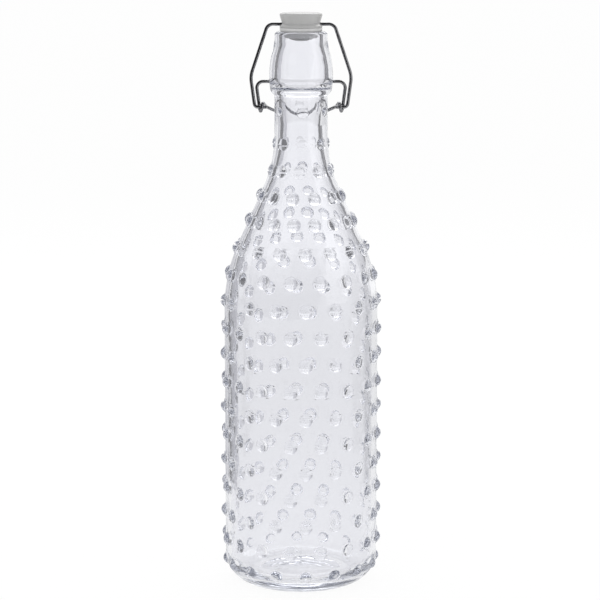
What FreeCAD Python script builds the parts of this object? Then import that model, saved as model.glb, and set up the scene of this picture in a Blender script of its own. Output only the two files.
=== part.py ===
import FreeCAD, Part
import math
import os

# Swing top bottle in hobnail glass. Millimetres, +Z up, the bottle's axis on Z and its foot at z 0.
# The user stands at -Y, and the lever's loop lies behind the neck at +Y.
V = FreeCAD.Vector
X_AXIS = V(1, 0, 0)
Z_AXIS = V(0, 0, 1)

# Glass body
BODY_R = 41.6
WALL = 3.2
HEEL_R = 15.0
FOOT_IN_R = 22.0
PUSH_UP = 3.0
FLOOR = 7.5
FLOOR_CORNER_R = 9.0
BODY_TOP = 151.5
SHOULDER_R = 90.0
SHOULDER_ANGLE = 24.2
NECK_SWEEP_R = 70.0
NECK_R = 14.3
NECK_TOP_R = 14.2
NECK_BORE_R = 9.6
NECK_LENGTH = 20.7

# Finish of the neck, where the closure sits
FINISH_H = 34.1
BULGE_R = 17.1
MOUTH_R = 14.15
MOUTH_BORE_R = 10.4
BARREL_R = 12.8
RING_R = 10.95
THROAT_R = 10.9
LIP_OUT_R = 1.7
LIP_IN_R = 1.5

# Hobnails: round nubs moulded on the glass in staggered rows
NUB_R = 3.5
NUB_H = 2.4
NUB_ROOT = 1.3
FIRST_ROW_Z = 24.9
ROW_PITCH = 14.63
BODY_ROWS = 13
NUBS_PER_ROW = 16
NUB_PHASE = 3.6
# The heel's, the shoulder's and the neck's own rows: count, first azimuth, height of the row, radius, height
NECK_NUB_H = 1.0
END_ROWS = (
    (16, 3.6, 11.6, 3.3, 1.8),
    (12, 18.6, 213.8, 3.5, 2.3),
    (10, -3.0, 227.7, 3.4, 1.5),
    (8, 3.6, 241.9, 3.1, NECK_NUB_H),
    (6, 3.6, 259.2, 3.0, NECK_NUB_H),
)
SEAM_TURN = 31.7

# Stopper and gasket
CAP_R = 11.4
CAP_EDGE_R = 1.3
CAP_H = 6.7
CAP_CROWN = 0.3
WAIST_R = 10.05
FLANGE_R = 11.2
FLANGE_T = 1.2
BAR_FLOOR = 0.9
STEM_R = 5.0
BUTTON_R = 6.3
BUTTON_H = 1.9
BUTTON_RIM = 0.6
GASKET_R = 11.4
GASKET_TIP_R = 8.5
CONE_ANGLE = 36.0
SEAT_GAP = 0.2

# Wire closure
WIRE_R = 0.9
PIVOT_RISE = 7.5
PIN_DEPTH = 2.6
PIN_FIT = 0.08
PIN_END_GAP = 0.3
EYE_FIT = 0.35
EYE_DROP = 13.7
EYE_ANGLE = -93.0
STRAND_GAP = 0.4
ARM_GAP = 1.3
ARM_FLARE = 1.7
LEVER_CORNER_R = 3.5
LOOP_CORNER_R = 5.0
LOOP_TAPER = 1.7
LOOP_DROP = 15.4
LOOP_SAG = 5.2
LOOP_SAG_X = 5.0
LOOP_SAG_R = 12.0
LOOP_GAP = 0.3
BAR_RISE = 3.9
BAIL_SHOULDER = 6.3
BAIL_SHOULDER_R = 4.0
BAIL_KNEE_R = 14.0
BAIL_KNEE_RISE = 16.5
BAIL_HOOK_R = 2.0
BAIL_GAP = 0.55
BAIL_KNEE_GAP = 1.1
HOOK_LENGTH = 1.8

# Heights and places that follow from the sizes above
SIN_A = math.sin(math.radians(SHOULDER_ANGLE))
COS_A = math.cos(math.radians(SHOULDER_ANGLE))


def shoulder(body_r, neck_r, top_r, sweep_r):
    """Return (r, z) of the shoulder's two tangent points and the height where the neck begins."""
    r1 = body_r - top_r * (1 - COS_A)
    z1 = BODY_TOP + top_r * SIN_A
    r2 = neck_r + sweep_r * (1 - COS_A)
    z2 = z1 + (r1 - r2) * COS_A / SIN_A
    return (r1, z1), (r2, z2), z2 + sweep_r * SIN_A


CONE_LOW, CONE_HIGH, NECK_Z = shoulder(BODY_R, NECK_R, SHOULDER_R, NECK_SWEEP_R)
FINISH_Z = NECK_Z + NECK_LENGTH
MOUTH_Z = FINISH_Z + FINISH_H
PIVOT_Z = FINISH_Z + PIVOT_RISE
BAR_Z = MOUTH_Z + BAR_RISE
LIP_Z = MOUTH_Z - LIP_IN_R
GASKET_TOP = BAR_Z - WIRE_R - PIN_FIT - BAR_FLOOR

# The eye that joins lever and bail, in the plane x = 0
EYE_R = 2 * WIRE_R + EYE_FIT
EYE_Y = EYE_DROP * math.cos(math.radians(EYE_ANGLE))
EYE_Z = PIVOT_Z + EYE_DROP * math.sin(math.radians(EYE_ANGLE))
INNER_X = BULGE_R + ARM_GAP + 2 * WIRE_R
OUTER_X = INNER_X + 2 * WIRE_R + STRAND_GAP
LEVER_X = OUTER_X + ARM_FLARE
LOOP_X = INNER_X - LOOP_TAPER
LOOP_Y = NECK_R + NECK_NUB_H + WIRE_R + LOOP_GAP
LOOP_Z = PIVOT_Z - LOOP_DROP
LOOP_LOW_Z = LOOP_Z - LOOP_SAG
BAIL_LOW_X = OUTER_X + 2 * WIRE_R + BAIL_GAP
BAIL_KNEE_X = LEVER_X + 2 * WIRE_R + BAIL_KNEE_GAP


def at(r, z):
    """Return the point at radius r and height z in the plane of the outlines."""
    return V(r, 0, z)


def line(a, b):
    """Return the straight edge from a to b."""
    return Part.LineSegment(a, b).toShape()


def arc(a, b, c):
    """Return the arc from a through b to c."""
    return Part.Arc(a, b, c).toShape()


def turned_arc(centre, radius, start, end):
    """Return an arc in the outline's plane, between two angles in degrees."""
    points = []
    for angle in (start, (start + end) / 2, end):
        t = math.radians(angle)
        points.append(at(centre[0] + radius * math.cos(t), centre[1] + radius * math.sin(t)))
    return arc(*points)


def dome(radius, z, rise):
    """Return the arc from the axis out to the radius, part of a ball that stands rise above z."""
    ball_r = (radius ** 2 + rise ** 2) / (2 * rise)
    middle = at(radius / 2, z + rise - ball_r + math.copysign(math.sqrt(ball_r ** 2 - radius ** 2 / 4), rise))
    return arc(at(0, z + rise), middle, at(radius, z))


def revolve(edges):
    """Return the solid that the closed outline sweeps round the Z axis."""
    face = Part.Face(Part.Wire(edges))
    return face.revolve(V(0, 0, 0), Z_AXIS, 360)


def glass_outside():
    """Return the outline's edges from the middle of the foot up to the top of the lip."""
    foot_r = BODY_R - HEEL_R
    a = SHOULDER_ANGLE
    z = FINISH_Z
    low = at(BULGE_R - 0.4, z + 4.0)
    high = at(BULGE_R - 0.9, z + 20.0)
    roll = at(MOUTH_R + 0.95, z + 23.6)
    edges = [
        dome(FOOT_IN_R, 0, PUSH_UP),
        line(at(FOOT_IN_R, 0), at(foot_r, 0)),
        turned_arc((foot_r, HEEL_R), HEEL_R, -90, 0),
        line(at(BODY_R, HEEL_R), at(BODY_R, BODY_TOP)),
        turned_arc((BODY_R - SHOULDER_R, BODY_TOP), SHOULDER_R, 0, a),
        line(at(*CONE_LOW), at(*CONE_HIGH)),
        turned_arc((NECK_R + NECK_SWEEP_R, NECK_Z), NECK_SWEEP_R, 180 + a, 180),
        line(at(NECK_R, NECK_Z), at(NECK_TOP_R, z)),
        arc(at(NECK_TOP_R, z), at(BULGE_R - 1.25, z + 1.6), low),
        arc(low, at(BULGE_R, z + 11.3), high),
        arc(high, at(BULGE_R - 1.4, z + 22.0), roll),
        line(roll, at(MOUTH_R, z + 30.0)),
        line(at(MOUTH_R, z + 30.0), at(MOUTH_R, MOUTH_Z - LIP_OUT_R)),
        turned_arc((MOUTH_R - LIP_OUT_R, MOUTH_Z - LIP_OUT_R), LIP_OUT_R, 0, 90),
        line(at(MOUTH_R - LIP_OUT_R, MOUTH_Z), at(MOUTH_BORE_R + LIP_IN_R, MOUTH_Z)),
    ]
    return edges


def glass_inside():
    """Return the outline's edges from the lip down the bore to the middle of the floor."""
    a = SHOULDER_ANGLE
    body_r = BODY_R - WALL
    top_r = SHOULDER_R - WALL
    sweep_r = NECK_SWEEP_R + NECK_R - NECK_BORE_R
    low, high, neck_z = shoulder(body_r, NECK_BORE_R, top_r, sweep_r)
    waist = at(MOUTH_BORE_R, FINISH_Z + 26.5)
    barrel = at(BARREL_R - 0.1, FINISH_Z + 4.3)
    ring = at(RING_R, FINISH_Z + 2.4)
    throat = at(THROAT_R, FINISH_Z - 3.5)
    bore = at(NECK_BORE_R, FINISH_Z - 15.0)
    corner_r = body_r - FLOOR_CORNER_R
    edges = [
        turned_arc((MOUTH_BORE_R + LIP_IN_R, LIP_Z), LIP_IN_R, 90, 180),
        line(at(MOUTH_BORE_R, LIP_Z), waist),
        arc(waist, at(BARREL_R, FINISH_Z + 16.0), barrel),
        line(barrel, ring),
        line(ring, throat),
        line(throat, bore),
        line(bore, at(NECK_BORE_R, neck_z)),
        turned_arc((NECK_BORE_R + sweep_r, neck_z), sweep_r, 180, 180 + a),
        line(at(*high), at(*low)),
        turned_arc((body_r - top_r, BODY_TOP), top_r, a, 0),
        line(at(body_r, BODY_TOP), at(body_r, FLOOR + FLOOR_CORNER_R)),
        turned_arc((corner_r, FLOOR + FLOOR_CORNER_R), FLOOR_CORNER_R, 0, -90),
        line(at(corner_r, FLOOR), at(0, FLOOR)),
    ]
    return edges


def wall_at(z):
    """Return the outside radius at height z and the outward slope angle there, in degrees."""
    if z < HEEL_R:
        angle = math.asin((z - HEEL_R) / HEEL_R)
        return BODY_R - HEEL_R * (1 - math.cos(angle)), math.degrees(angle)
    if z < BODY_TOP:
        return BODY_R, 0.0
    if z < CONE_LOW[1]:
        angle = math.asin((z - BODY_TOP) / SHOULDER_R)
        return BODY_R - SHOULDER_R * (1 - math.cos(angle)), math.degrees(angle)
    if z < CONE_HIGH[1]:
        return CONE_LOW[0] - (z - CONE_LOW[1]) * SIN_A / COS_A, SHOULDER_ANGLE
    if z < NECK_Z:
        angle = math.asin((NECK_Z - z) / NECK_SWEEP_R)
        return NECK_R + NECK_SWEEP_R * (1 - math.cos(angle)), math.degrees(angle)
    taper = (NECK_R - NECK_TOP_R) / NECK_LENGTH
    return NECK_R - (z - NECK_Z) * taper, math.degrees(math.atan(taper))


def nub_rows():
    """Yield the count, first azimuth, height, nub radius and nub height of each row."""
    step = 360.0 / NUBS_PER_ROW
    for i in range(BODY_ROWS):
        yield NUBS_PER_ROW, NUB_PHASE + (1 - i % 2) * step / 2, FIRST_ROW_Z + i * ROW_PITCH, NUB_R, NUB_H
    for row in END_ROWS:
        yield row


def nub_turns():
    """Yield one ball cap of each row, rooted in the wall, with the row's count."""
    for count, phase, z, radius, height in nub_rows():
        r, slope = wall_at(z)
        tilt = math.radians(slope)
        ball_r = (radius ** 2 + height ** 2) / (2 * height)
        sink = ball_r - height
        low = math.degrees(math.asin(max(0.0, sink - NUB_ROOT) / ball_r))
        turn = math.radians(phase)
        flat = V(math.sin(turn), -math.cos(turn), 0)
        out = flat * math.cos(tilt) + Z_AXIS * math.sin(tilt)
        centre = flat * r + Z_AXIS * z - out * sink
        yield Part.makeSphere(ball_r, centre, out, low, 90, 360), count


def make_hobnails():
    """Return the nubs of all rows, each seated on the outside of the glass wall."""
    core = revolve(glass_outside() + [line(at(MOUTH_BORE_R + LIP_IN_R, MOUTH_Z), at(0, MOUTH_Z)),
                                      line(at(0, MOUTH_Z), at(0, PUSH_UP))])
    # The turned faces close on a line that runs between the nubs
    core.rotate(V(0, 0, 0), Z_AXIS, SEAM_TURN)
    caps = []
    for ball, count in nub_turns():
        cap = ball.cut(core).Solids[0]
        for k in range(count):
            one = cap.copy()
            one.rotate(V(0, 0, 0), Z_AXIS, k * 360.0 / count)
            caps.append(one)
    return Part.makeCompound(caps)


def make_bottle():
    """Return the glass: a blown body with a foot, a neck, and two dimples for the lever's pins."""
    glass = revolve(glass_outside() + glass_inside() + [line(at(0, FLOOR), at(0, PUSH_UP))])
    glass.rotate(V(0, 0, 0), Z_AXIS, SEAM_TURN)
    for side in (1, -1):
        start = V(side * (BULGE_R - PIN_DEPTH), 0, PIVOT_Z)
        hole = Part.makeCylinder(WIRE_R + PIN_FIT, PIN_DEPTH + WIRE_R, start, X_AXIS * side)
        glass = glass.cut(hole)
    return glass.Solids[0]


def gasket_cone():
    """Return the (r, z) ends of the gasket's cone, which rests on the lip's inner round."""
    t = math.radians(CONE_ANGLE)
    reach = LIP_IN_R + SEAT_GAP
    seat_r = MOUTH_BORE_R + LIP_IN_R - reach * math.cos(t)
    seat_z = LIP_Z + reach * math.sin(t)
    slope = math.cos(t) / math.sin(t)
    return (GASKET_R, seat_z + (GASKET_R - seat_r) * slope), (GASKET_TIP_R, seat_z - (seat_r - GASKET_TIP_R) * slope)


def make_gasket():
    """Return the ring that seals the mouth, held between the flange and the button."""
    rim, tip = gasket_cone()
    edges = [
        line(at(STEM_R, tip[1]), at(*tip)),
        line(at(*tip), at(*rim)),
        line(at(*rim), at(GASKET_R, GASKET_TOP)),
        line(at(GASKET_R, GASKET_TOP), at(STEM_R, GASKET_TOP)),
        line(at(STEM_R, GASKET_TOP), at(STEM_R, tip[1])),
    ]
    return revolve(edges)


def make_stopper():
    """Return the stopper: cap, waist, flange, stem and button, bored across for the bail."""
    tip_z = gasket_cone()[1][1]
    top = GASKET_TOP + FLANGE_T + CAP_H
    waist = at(WAIST_R, GASKET_TOP + FLANGE_T + 0.9)
    flange_mid = at(FLANGE_R + FLANGE_T * 0.2, GASKET_TOP + FLANGE_T / 2)
    edges = [
        dome(BUTTON_R, tip_z - BUTTON_RIM, BUTTON_RIM - BUTTON_H),
        line(at(BUTTON_R, tip_z - BUTTON_RIM), at(BUTTON_R, tip_z)),
        line(at(BUTTON_R, tip_z), at(STEM_R, tip_z)),
        line(at(STEM_R, tip_z), at(STEM_R, GASKET_TOP)),
        line(at(STEM_R, GASKET_TOP), at(FLANGE_R, GASKET_TOP)),
        arc(at(FLANGE_R, GASKET_TOP), flange_mid, at(FLANGE_R, GASKET_TOP + FLANGE_T)),
        line(at(FLANGE_R, GASKET_TOP + FLANGE_T), waist),
        line(waist, at(CAP_R, top - CAP_EDGE_R)),
        turned_arc((CAP_R - CAP_EDGE_R, top - CAP_EDGE_R), CAP_EDGE_R, 0, 90),
        dome(CAP_R - CAP_EDGE_R, top, CAP_CROWN),
        line(at(0, top + CAP_CROWN), at(0, tip_z - BUTTON_H)),
    ]
    hole_r = WIRE_R + PIN_FIT
    hole = Part.makeCylinder(hole_r, 2 * CAP_R + 4, V(-CAP_R - 2, 0, BAR_Z), X_AXIS)
    body = revolve(edges)
    # The turned faces close on a line away from the bore's ends
    body.rotate(V(0, 0, 0), Z_AXIS, 90)
    return body.cut(hole).Solids[0]


def rounded(points, radii):
    """Return the edges of a path through the points, each inner corner an arc of its radius."""
    edges = []
    here = points[0]
    for i, radius in enumerate(radii, start=1):
        corner = points[i]
        back = (points[i - 1] - corner).normalize()
        ahead = (points[i + 1] - corner).normalize()
        half = back.getAngle(ahead) / 2
        reach = radius / math.tan(half)
        middle = (back + ahead).normalize() * (radius / math.sin(half) - radius)
        first = corner + back * reach
        last = corner + ahead * reach
        edges.append(line(here, first))
        edges.append(arc(first, corner + middle, last))
        here = last
    edges.append(line(here, points[-1]))
    return edges


def half_arc(a, b, corner):
    """Return the arc from a to b whose end tangents meet at the corner."""
    middle = (a + b) * 0.5
    half = (b - a).Length / 2
    angle = math.acos(min(1.0, half / (corner - a).Length))
    return arc(a, middle + (corner - middle).normalize() * (half * math.tan(angle / 2)), b)


def biarc(a, ta, b, tb):
    """Return two arcs that join a to b with the unit tangents ta and tb."""
    v = b - a
    t = ta + tb
    qa = 2 * (ta.dot(tb) - 1)
    qb = -2 * v.dot(t)
    reach = (-qb - math.sqrt(qb * qb - 4 * qa * v.dot(v))) / (2 * qa)
    first = a + ta * reach
    second = b - tb * reach
    joint = (first + second) * 0.5
    return [half_arc(a, joint, first), half_arc(joint, b, second)]


def sweep(edges, start, heading):
    """Return the round wire that runs along the edges."""
    ring = Part.Wire(Part.Circle(start, heading, WIRE_R).toShape())
    return Part.Wire(edges).makePipeShell([ring], True, False)


def mirrored(edges):
    """Return copies of the edges on the other side of the plane x = 0."""
    return [edge.mirror(V(0, 0, 0), X_AXIS) for edge in edges]


def eye_point(angle, x):
    """Return a point on the eye at an angle in its plane, and at x."""
    return V(x, EYE_Y + EYE_R * math.cos(angle), EYE_Z + EYE_R * math.sin(angle))


def eye_tangent(y, z, side):
    """Return the angle on the eye where a tangent from (y, z) touches it, on either side."""
    dy = y - EYE_Y
    dz = z - EYE_Z
    return math.atan2(dz, dy) + side * math.acos(EYE_R / math.hypot(dy, dz))


def lever_half():
    """Return the edges of the lever's +X half, from the pin's end to the middle of the loop."""
    pin_end = V(BULGE_R - PIN_DEPTH + PIN_END_GAP, 0, PIVOT_Z)
    corner = V(LEVER_X, 0, PIVOT_Z)
    loop = V(LOOP_X, LOOP_Y, LOOP_Z)
    start = eye_tangent(0, PIVOT_Z, -1)
    end = eye_tangent(LOOP_Y, LOOP_Z, 1) - 2 * math.pi
    into = eye_point(start, OUTER_X)
    away = eye_point(end, INNER_X)
    quarters = 4
    turn = (end - start) / quarters
    shift = (INNER_X - OUTER_X) / quarters
    points = [eye_point(start + i * turn, OUTER_X + i * shift) for i in range(quarters + 1)]
    headings = [(into - corner).normalize()]
    for i in range(1, quarters):
        angle = start + i * turn
        headings.append(V(shift / -turn, EYE_R * math.sin(angle), -EYE_R * math.cos(angle)).normalize())
    headings.append((loop - away).normalize())
    edges = rounded([pin_end, corner, into], [LEVER_CORNER_R])
    for i in range(quarters):
        edges += biarc(points[i], headings[i], points[i + 1], headings[i + 1])
    dip = V(LOOP_SAG_X, LOOP_Y, LOOP_LOW_Z)
    edges += rounded([away, loop, dip, V(0, LOOP_Y, LOOP_LOW_Z)], [LOOP_CORNER_R, LOOP_SAG_R])
    return edges


def make_lever():
    """Return the lever: pins, a one turn eye on each side and the loop behind the neck."""
    half = lever_half()
    pin_end = V(BULGE_R - PIN_DEPTH + PIN_END_GAP, 0, PIVOT_Z)
    other = mirrored(half)
    other.reverse()
    return sweep(half + other, pin_end, X_AXIS)


def make_bail():
    """Return the bail: hooked ends in the eyes, two bowed arms and the bar through the stopper."""
    eye = V(0, EYE_Y, EYE_Z)
    bar = V(0, 0, BAR_Z)
    up = (bar - eye).normalize()
    end = eye + X_AXIS * (INNER_X - HOOK_LENGTH)
    hook = eye + X_AXIS * BAIL_LOW_X
    knee = eye + up * BAIL_KNEE_RISE + X_AXIS * BAIL_KNEE_X
    top = bar + X_AXIS * (CAP_R + BAIL_SHOULDER)
    half = rounded([end, hook, knee, top, bar], [BAIL_HOOK_R, BAIL_KNEE_R, BAIL_SHOULDER_R])
    other = mirrored(half)
    other.reverse()
    return sweep(half + other, end, X_AXIS)


PIECES = {
    "bottle": make_bottle,
    "hobnails": make_hobnails,
    "stopper": make_stopper,
    "gasket": make_gasket,
    "bail": make_bail,
    "lever": make_lever,
}

os.makedirs("parts", exist_ok=True)
for name, make in PIECES.items():
    shape = make()
    shape.exportStep("parts/" + name + ".step")
    print(name, shape.ShapeType, shape.isValid(), round(shape.Volume, 1), len(shape.Faces))
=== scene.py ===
"""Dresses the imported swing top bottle: hobnail glass, stopper, gasket and bent wire, on a pale floor."""

import logging
import math
from dataclasses import dataclass, field
from enum import Enum

import bmesh
import bpy
from bmesh.types import BMEdge, BMesh, BMLayerItem, BMVert
from bpy.types import Material, Mesh, Node, NodeSocket, NodeTree, Object
from mathutils import Matrix, Vector


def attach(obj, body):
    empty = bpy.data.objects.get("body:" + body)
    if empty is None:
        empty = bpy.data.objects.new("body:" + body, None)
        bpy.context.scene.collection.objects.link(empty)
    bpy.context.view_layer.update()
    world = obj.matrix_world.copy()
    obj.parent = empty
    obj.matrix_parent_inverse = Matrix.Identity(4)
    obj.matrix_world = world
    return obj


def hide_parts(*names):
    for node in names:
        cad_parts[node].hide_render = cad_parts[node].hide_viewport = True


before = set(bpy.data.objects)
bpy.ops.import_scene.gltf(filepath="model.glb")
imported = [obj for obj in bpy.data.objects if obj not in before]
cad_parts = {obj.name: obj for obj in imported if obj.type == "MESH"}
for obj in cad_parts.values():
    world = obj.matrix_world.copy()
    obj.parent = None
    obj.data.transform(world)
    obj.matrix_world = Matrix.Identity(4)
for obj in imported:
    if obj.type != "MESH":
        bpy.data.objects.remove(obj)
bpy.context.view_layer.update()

log = logging.getLogger("swing_top_bottle")

Colour = tuple[float, float, float]
Place = tuple[float, float, float]
Pair = tuple[float, float]

# Metres in a millimetre, and the distance within which vertices merge
MM = 0.001
MERGE = 1e-6

# Steps in a millimetre that a ring's distance is rounded to when it is looked up
ROW_KEY = 1e4

# Edges that fold by more than this stay sharp, degrees
SHARP = 40.0

# Arcs of a larger radius are stepped like straight runs, mm
FLAT_ARC_R = 60.0

# Halvings in the search for a height
HALVINGS = 30

# Share of the way from a nub's crown to its foot that its ball takes up
BALL_SHARE = 0.8

# Shares of the way from a pin hole's middle to its edge at which its floor ends and its lip starts
FLOOR_END = 0.4
LIP_START = 0.6

X_AXIS = Vector((1.0, 0.0, 0.0))


class Slot(Enum):
    """The material slots of the record."""

    GLASS = "glass"
    STOPPER = "stopper"
    GASKET = "gasket"
    WIRE = "wire"


class Body(Enum):
    """The bodies that the pieces ride on."""

    BOTTLE = "bottle"
    LEVER = "lever"
    BAIL = "bail"
    STOPPER = "stopper"


# Outlines, drawn as straight runs and arcs in the plane of radius and height

@dataclass(frozen=True)
class Run:
    """A straight stretch of an outline, in millimetres."""

    a: Vector
    b: Vector

    @property
    def length(self) -> float:
        """Return the length of the run."""
        return (self.b - self.a).length

    def point(self, t: float) -> Vector:
        """Return the point at a share t of the run."""
        return self.a.lerp(self.b, t)

    def heading(self, t: float) -> Vector:
        """Return the unit direction of travel."""
        return (self.b - self.a).normalized()


@dataclass(frozen=True)
class Arc:
    """A round stretch of an outline about a centre, in millimetres and radians."""

    centre: Vector
    radius: float
    first: float
    last: float

    @property
    def length(self) -> float:
        """Return the length of the arc."""
        return abs(self.last - self.first) * self.radius

    def point(self, t: float) -> Vector:
        """Return the point at a share t of the arc."""
        angle = self.first + (self.last - self.first) * t
        return self.centre + Vector((math.cos(angle), math.sin(angle))) * self.radius

    def heading(self, t: float) -> Vector:
        """Return the unit direction of travel at a share t."""
        angle = self.first + (self.last - self.first) * t
        sign = 1.0 if self.last > self.first else -1.0
        return Vector((-math.sin(angle), math.cos(angle))) * sign


@dataclass
class Outline:
    """A chain of runs and arcs that is drawn from point to point."""

    here: Vector
    pieces: list[Run | Arc] = field(default_factory=list)

    def to(self, r: float, z: float) -> "Outline":
        """Draw a straight run.

        Args:
            r: radius of its end, mm.
            z: height of its end, mm.

        Returns:
            The outline itself.
        """
        end = Vector((r, z))
        self.pieces.append(Run(self.here, end))
        self.here = end
        return self

    def turn(self, r: float, z: float, radius: float, first: float, last: float) -> "Outline":
        """Draw an arc about a centre.

        Args:
            r: radius of the centre from the axis, mm.
            z: height of the centre, mm.
            radius: the arc's own radius, mm.
            first: angle that it starts at, degrees.
            last: angle that it ends at, degrees.

        Returns:
            The outline itself.
        """
        piece = Arc(Vector((r, z)), radius, math.radians(first), math.radians(last))
        self.pieces.append(piece)
        self.here = piece.point(1.0)
        return self

    def through(self, r: float, z: float, end_r: float, end_z: float) -> "Outline":
        """Draw an arc through a point to an end.

        Args:
            r: radius of the point on the way, mm.
            z: height of the point on the way, mm.
            end_r: radius of the end, mm.
            end_z: height of the end, mm.

        Returns:
            The outline itself.
        """
        a, b, c = self.here, Vector((r, z)), Vector((end_r, end_z))
        d = 2.0 * (a.x * (b.y - c.y) + b.x * (c.y - a.y) + c.x * (a.y - b.y))
        aa, bb, cc = a.length_squared, b.length_squared, c.length_squared
        centre = Vector((
            (aa * (b.y - c.y) + bb * (c.y - a.y) + cc * (a.y - b.y)) / d,
            (aa * (c.x - b.x) + bb * (a.x - c.x) + cc * (b.x - a.x)) / d,
        ))
        first = math.atan2(a.y - centre.y, a.x - centre.x)
        sweep = (b - a).cross(c - b)
        last = math.atan2(c.y - centre.y, c.x - centre.x)
        while sweep > 0 and last < first:
            last += 2 * math.pi
        while sweep < 0 and last > first:
            last -= 2 * math.pi
        self.pieces.append(Arc(centre, (a - centre).length, first, last))
        self.here = c
        return self

    @property
    def length(self) -> float:
        """Return the whole length, mm."""
        return sum(piece.length for piece in self.pieces)

    def locate(self, along: float) -> tuple[Vector, Vector]:
        """Find a place on the outline.

        Args:
            along: distance from the start, mm.

        Returns:
            The point, and the unit normal on the right hand of the direction of travel.
        """
        left = along
        for piece in self.pieces:
            if left <= piece.length or piece is self.pieces[-1]:
                t = min(1.0, max(0.0, left / piece.length))
                heading = piece.heading(t)
                return piece.point(t), Vector((heading.y, -heading.x))
            left -= piece.length
        raise ValueError("the outline is empty")

    def along_at(self, z: float, start: float = 0.0) -> float:
        """Find the distance at which the outline first rises to a height.

        Args:
            z: the height, mm.
            start: distance to start looking from, mm.

        Returns:
            The distance from the outline's start, mm.
        """
        low, high = start, self.length
        step = 1.0
        while low + step < high and self.locate(low + step)[0].y < z:
            low += step
        high = min(high, low + step)
        for _ in range(HALVINGS):
            middle = (low + high) / 2
            if self.locate(middle)[0].y < z:
                low = middle
            else:
                high = middle
        return low

    def stations(self, run_step: float, turn_step: float) -> list[float]:
        """Choose the distances at which the outline gets a vertex.

        Args:
            run_step: longest step on a run, mm.
            turn_step: largest turn in one step of an arc, degrees.

        Returns:
            The distances in order, with the ends of every piece among them.
        """
        found = [0.0]
        start = 0.0
        for piece in self.pieces:
            steps = math.ceil(piece.length / run_step)
            if isinstance(piece, Arc):
                turn = math.degrees(abs(piece.last - piece.first))
                steps = max(steps if piece.radius > FLAT_ARC_R else 1, math.ceil(turn / turn_step))
            for i in range(1, steps + 1):
                found.append(start + piece.length * i / steps)
            start += piece.length
        return found


# Bumps and dimples that are pressed out of a turned surface

@dataclass(frozen=True)
class Nub:
    """A hobnail: part of a ball, with a soft fillet at its foot, in millimetres."""

    radius: float
    height: float
    fillet: float = 1.0

    @property
    def ball(self) -> float:
        """Return the radius of the ball."""
        return (self.radius ** 2 + self.height ** 2) / (2 * self.height)

    @property
    def reach(self) -> float:
        """Return the radius at which the fillet meets the wall."""
        drop = self.fillet - (self.height - self.ball)
        return math.sqrt((self.ball + self.fillet) ** 2 - drop ** 2)

    def form(self, share: float) -> tuple[float, float]:
        """Give the nub's own profile.

        Args:
            share: 0 at the crown, 1 at the foot.

        Returns:
            The distance from the nub's axis and the height over the wall, mm.
        """
        angle = self.slope(share)
        if share <= BALL_SHARE:
            return self.ball * math.sin(angle), self.height - self.ball * (1 - math.cos(angle))
        return self.reach - self.fillet * math.sin(angle), self.fillet * (1 - math.cos(angle))

    def slope(self, share: float) -> float:
        """Return how far the surface leans out from the wall at a share of the way to the foot."""
        edge = math.asin(self.reach / (self.ball + self.fillet))
        return edge * min(share / BALL_SHARE, (1 - share) / (1 - BALL_SHARE))


@dataclass(frozen=True)
class PinHole:
    """A round dimple that a wire end turns in, in millimetres."""

    radius: float
    depth: float
    lip: float = 0.3

    @property
    def reach(self) -> float:
        """Return the radius of the rounded edge of the dimple."""
        return self.radius + self.lip

    def form(self, share: float) -> tuple[float, float]:
        """Give the dimple's own profile.

        Args:
            share: 0 in the middle, 1 at the edge.

        Returns:
            The distance from the dimple's axis and the height over the wall, mm.
        """
        if share <= FLOOR_END:
            return self.radius * share / FLOOR_END, -self.depth
        if share <= LIP_START:
            climb = (share - FLOOR_END) / (LIP_START - FLOOR_END)
            return self.radius, -self.depth + (self.depth - self.lip) * climb
        angle = math.pi / 2 * (share - LIP_START) / (1 - LIP_START)
        return self.radius + self.lip * (1 - math.cos(angle)), -self.lip * (1 - math.sin(angle))


@dataclass(frozen=True)
class Boss:
    """One row of nubs or dimples round a turned surface."""

    form: Nub | PinHole
    along: float
    count: int
    azimuth: float


def about_axis(flat: Vector, azimuth: float) -> Vector:
    """Turn a radius and a height into a place or direction at an azimuth, with 0 towards -Y."""
    return Vector((flat.x * math.sin(azimuth), -flat.x * math.cos(azimuth), flat.y))


def round_off(u: float, v: float) -> tuple[float, float]:
    """Turn a place in a square into a place in a circle.

    Args:
        u: from -1 to 1 across the square.
        v: from -1 to 1 up the square.

    Returns:
        The share of the radius and the angle.
    """
    if u == 0 and v == 0:
        return 0.0, 0.0
    if abs(u) >= abs(v):
        return abs(u), math.pi / 4 * v / u + (math.pi if u < 0 else 0.0)
    return abs(v), math.pi / 2 - math.pi / 4 * u / v + (math.pi if v < 0 else 0.0)


def fold_sharp(bm: BMesh, sharp: float) -> None:
    """Shade edges smooth, apart from those that fold by more than an angle.

    Args:
        bm: the mesh.
        sharp: the angle, degrees.
    """
    for edge in bm.edges:
        edge.smooth = not edge.is_manifold or edge.calc_face_angle() < math.radians(sharp)


def finish_mesh(bm: BMesh, name: str, sharp: float = SHARP) -> Object:
    """Make an object of a finished bmesh.

    Args:
        bm: the mesh, in metres, freed afterwards.
        name: the piece's name.
        sharp: edges that fold by more than this stay sharp, degrees.

    Returns:
        The linked object, at the origin.
    """
    bmesh.ops.remove_doubles(bm, verts=bm.verts, dist=MERGE)
    bmesh.ops.recalc_face_normals(bm, faces=bm.faces)
    for face in bm.faces:
        face.smooth = True
    fold_sharp(bm, sharp)
    mesh = bpy.data.meshes.new(name)
    bm.to_mesh(mesh)
    bm.free()
    obj = bpy.data.objects.new(name, mesh)
    bpy.context.scene.collection.objects.link(obj)
    return obj


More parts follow.
